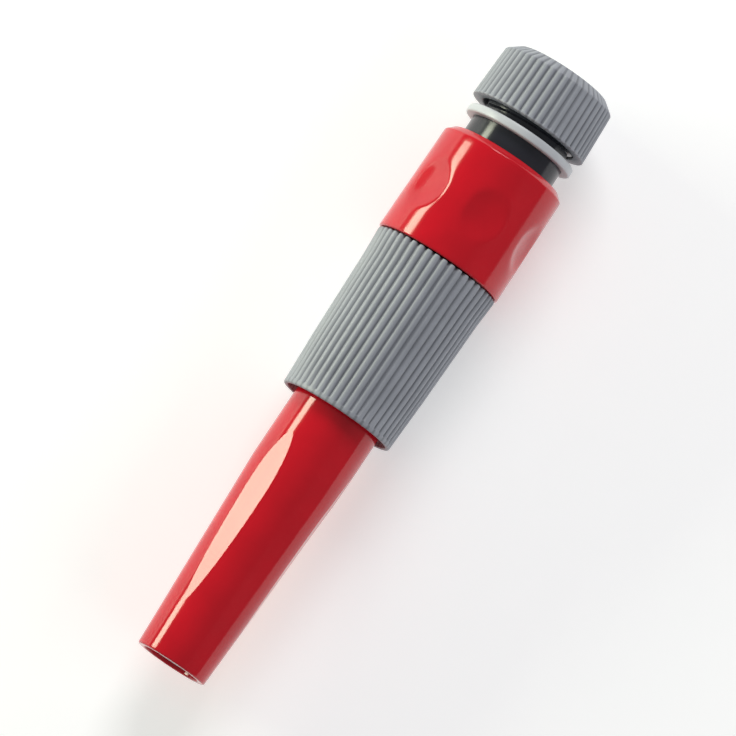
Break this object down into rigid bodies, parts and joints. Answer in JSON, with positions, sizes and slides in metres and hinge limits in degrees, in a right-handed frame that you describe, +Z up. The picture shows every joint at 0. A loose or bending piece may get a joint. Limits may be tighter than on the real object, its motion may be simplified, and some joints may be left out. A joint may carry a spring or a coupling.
{
  "type": "hose spray nozzle",
  "caption": "Twist-adjust garden spray nozzle snapped into a quick-release hose connector, with ribbed grip collar, tapered tip, locking claws and a clamping hose nut.",
  "frame": {"origin": "on the water axis, at the rear face of the hose nut, where the hose goes in", "axes": "+X along the water axis from the hose to the outlet, +Z up with the nozzle lying on its side, and -X the way the hose leaves"},
  "size_m": [0.1647, 0.0326, 0.0326],
  "materials": {
    "grip_grey": "satin moulded grey plastic with fine lengthwise ribs",
    "light_grey": "smooth light grey moulded plastic",
    "dark_grey": "smooth dark grey moulded plastic",
    "red_gloss": "polished red moulded plastic",
    "seal_rubber": "black sealing rubber",
    "spring_steel": "bright stainless spring wire and strip"
  },
  "bodies": {
    "coupler": {"coupler_core": "dark_grey", "flange_ring": "light_grey", "coupler_barrel": "dark_grey", "barrel_o_ring": "seal_rubber", "sleeve_stop_ring": "spring_steel", "sleeve_spring": "spring_steel"},
    "collet": {"collet": "light_grey"},
    "nut": {"hose_nut": "grip_grey"},
    "sleeve": {"release_sleeve": "red_gloss"},
    "claw_1": {"claw_1": "light_grey"},
    "claw_2": {"claw_2": "light_grey"},
    "claw_3": {"claw_3": "light_grey"},
    "nozzle": {"nozzle_body": "dark_grey", "nipple_o_ring": "seal_rubber", "collar_snap_ring": "spring_steel", "slide_o_ring": "seal_rubber", "spindle": "light_grey", "spindle_o_ring": "seal_rubber"},
    "collar": {"collar": "grip_grey", "tip_stop_ring": "dark_grey"},
    "tip": {"tip_tube": "red_gloss", "outlet_ring": "light_grey"}
  },
  "joints": [
    {"name": "collet_travel", "type": "slide", "parent": "coupler", "child": "collet", "axis": [1, 0, 0], "range_m": [-0.005, 0]},
    {"name": "nut_turn", "type": "hinge", "parent": "collet", "child": "nut", "pos_m": [0.0076, 0, 0], "axis": [1, 0, 0], "range_deg": [-720.5, 0]},
    {"name": "sleeve_slide", "type": "slide", "parent": "coupler", "child": "sleeve", "axis": [-1, 0, 0], "range_m": [0, 0.0045], "stiffness_N_per_m": 600, "springref_m": -0.004, "deforming": ["sleeve_spring"]},
    {"name": "claw_1_rock", "type": "hinge", "parent": "coupler", "child": "claw_1", "pos_m": [0.0414, 0, 0.0102], "axis": [0, -1, 0], "range_deg": [0, 10.1]},
    {"name": "claw_2_rock", "type": "hinge", "parent": "coupler", "child": "claw_2", "pos_m": [0.0414, -0.00883, -0.0051], "axis": [0, 0.5, -0.866], "range_deg": [0, 10.1]},
    {"name": "claw_3_rock", "type": "hinge", "parent": "coupler", "child": "claw_3", "pos_m": [0.0414, 0.00883, -0.0051], "axis": [0, 0.5, 0.866], "range_deg": [0, 10.1]},
    {"name": "nozzle_swivel", "type": "hinge", "parent": "coupler", "child": "nozzle", "pos_m": [0.0354, 0, 0], "axis": [1, 0, 0], "continuous": true},
    {"name": "collar_turn", "type": "hinge", "parent": "nozzle", "child": "collar", "pos_m": [0.0584, 0, 0], "axis": [1, 0, 0], "range_deg": [-360.5, 0]},
    {"name": "tip_slide", "type": "slide", "parent": "nozzle", "child": "tip", "axis": [1, 0, 0], "range_m": [0, 0.006]}
  ],
  "couplings": [
    {"joint": "nut_turn", "follows": "collet_travel", "rad_per_m": 2513.3},
    {"joint": "collar_turn", "follows": "tip_slide", "rad_per_m": -1047.2},
    {"joint": "claw_1_rock", "follows": "sleeve_slide", "rad_per_m": 38.785},
    {"joint": "claw_2_rock", "follows": "sleeve_slide", "rad_per_m": 38.785},
    {"joint": "claw_3_rock", "follows": "sleeve_slide", "rad_per_m": 38.785}
  ]
}
